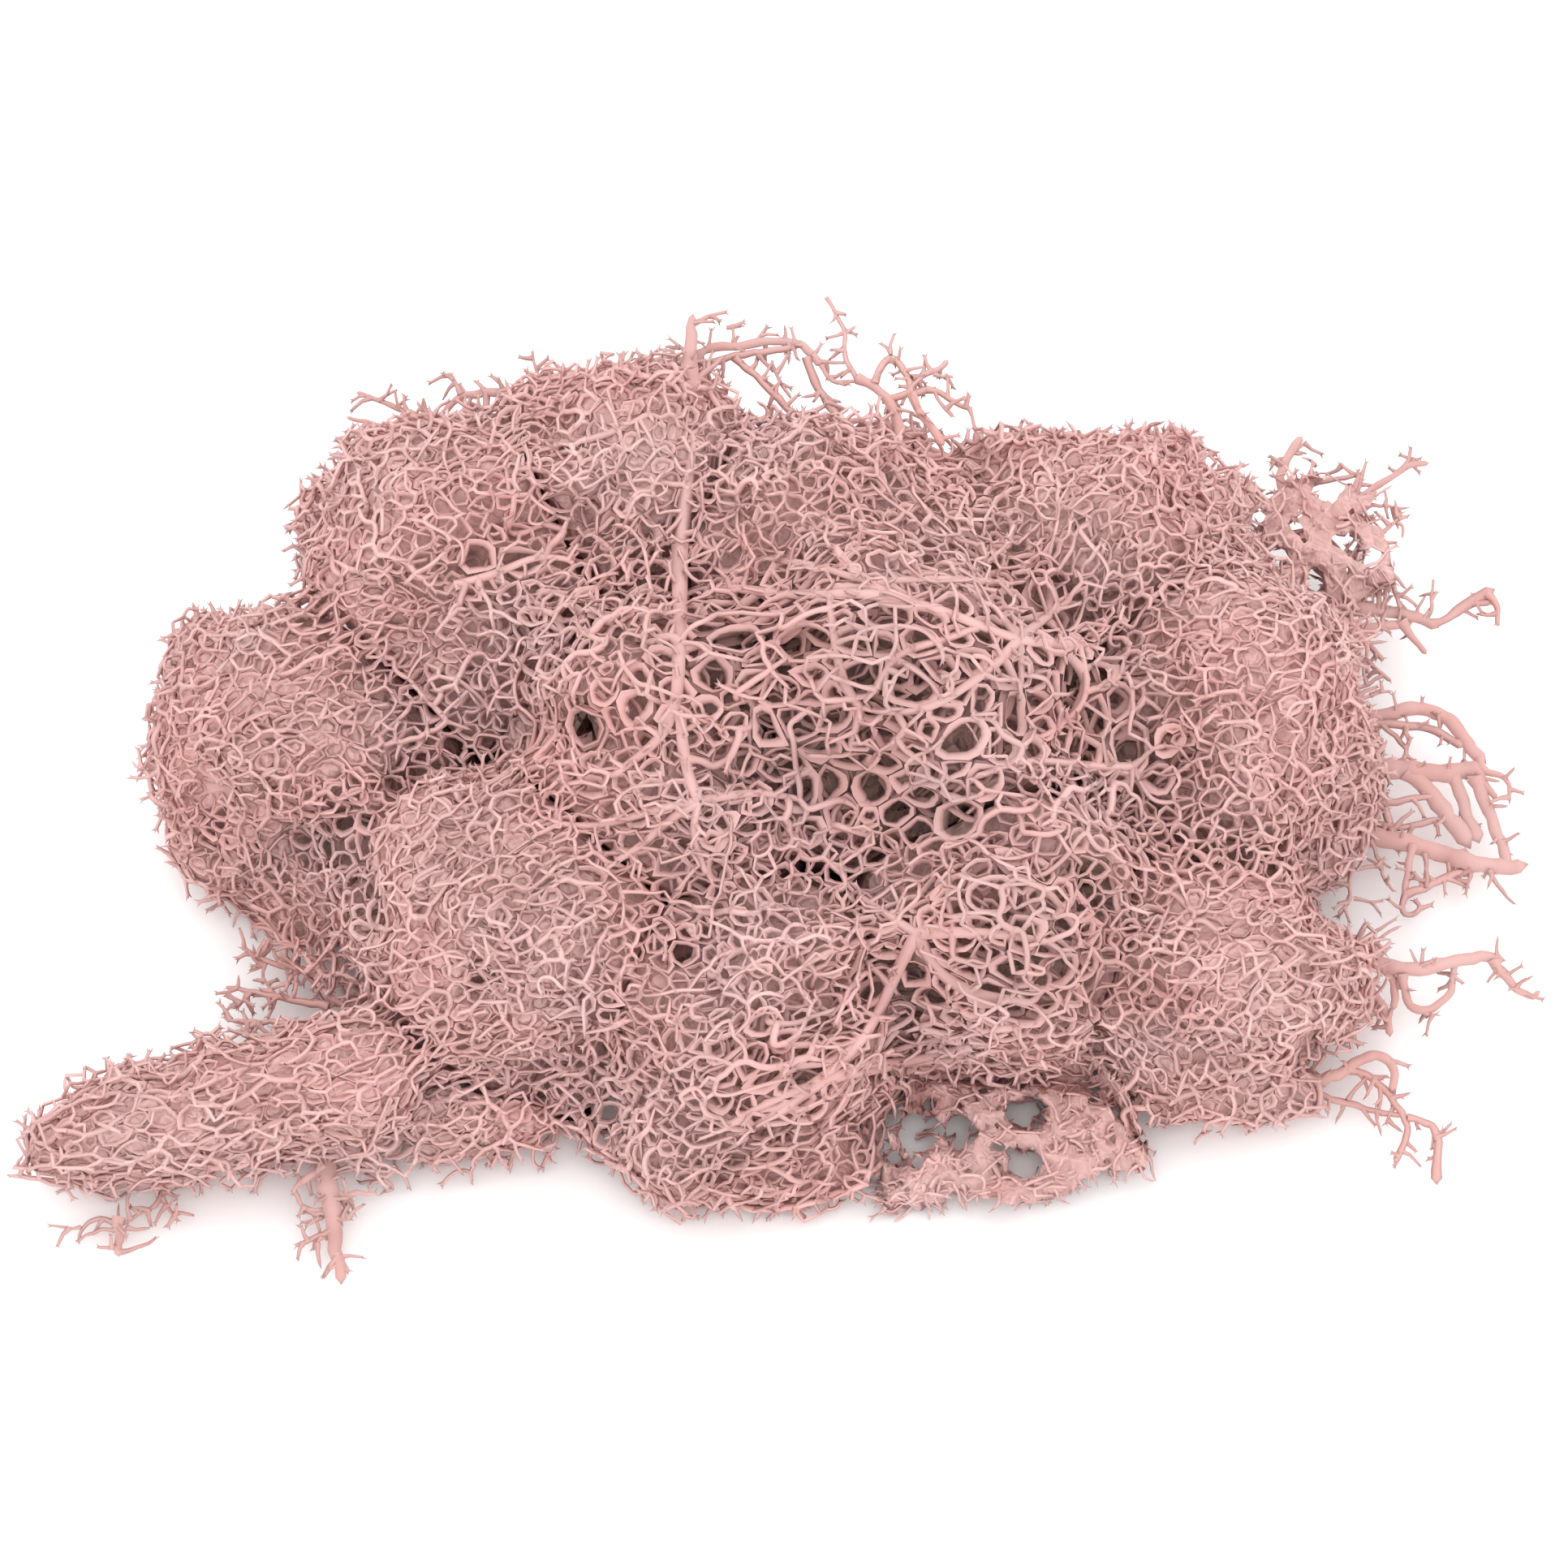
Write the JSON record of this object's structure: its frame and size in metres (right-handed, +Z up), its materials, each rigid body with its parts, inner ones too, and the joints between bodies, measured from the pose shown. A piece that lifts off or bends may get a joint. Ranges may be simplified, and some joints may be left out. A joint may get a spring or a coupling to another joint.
{
  "type": "reindeer moss clump",
  "caption": "Low mound of tangled reindeer moss, dyed dusty pink: rounded tufts, an open web of stems in the middle, and loose sprigs round the edge.",
  "frame": {"origin": "middle of the footprint, on the surface that the clump rests on", "axes": "+X along the clump's length, towards the straps and fans of the right side; +Y towards the back, where the mound is highest; +Z up"},
  "size_m": [0.1504, 0.0971, 0.0448],
  "materials": {
    "moss": "matte dusty pink, dyed and dried"
  },
  "bodies": {
    "root": {"back_right_net": "moss", "centre_web": "moss", "crest_sprig": "moss", "crest_tuft": "moss", "curl_sprig": "moss", "front_fringe_tuft": "moss", "front_left_tuft": "moss", "front_right_tuft": "moss", "front_tuft": "moss", "hanging_sprig": "moss", "left_fringe_sprig": "moss", "left_tuft": "moss", "lobe_sprig": "moss", "lower_left_lobe": "moss", "lower_right_mat": "moss", "lower_right_sprig": "moss", "lower_right_tuft": "moss", "middle_tuft": "moss", "right_arm_sprig": "moss", "right_fan_sprig": "moss", "right_tuft": "moss", "shoulder_tuft": "moss", "top_arc_sprig": "moss", "top_left_sprig": "moss", "upper_middle_tuft": "moss", "upper_right_sprig": "moss", "upper_right_tuft": "moss"}
  },
  "joints": []
}
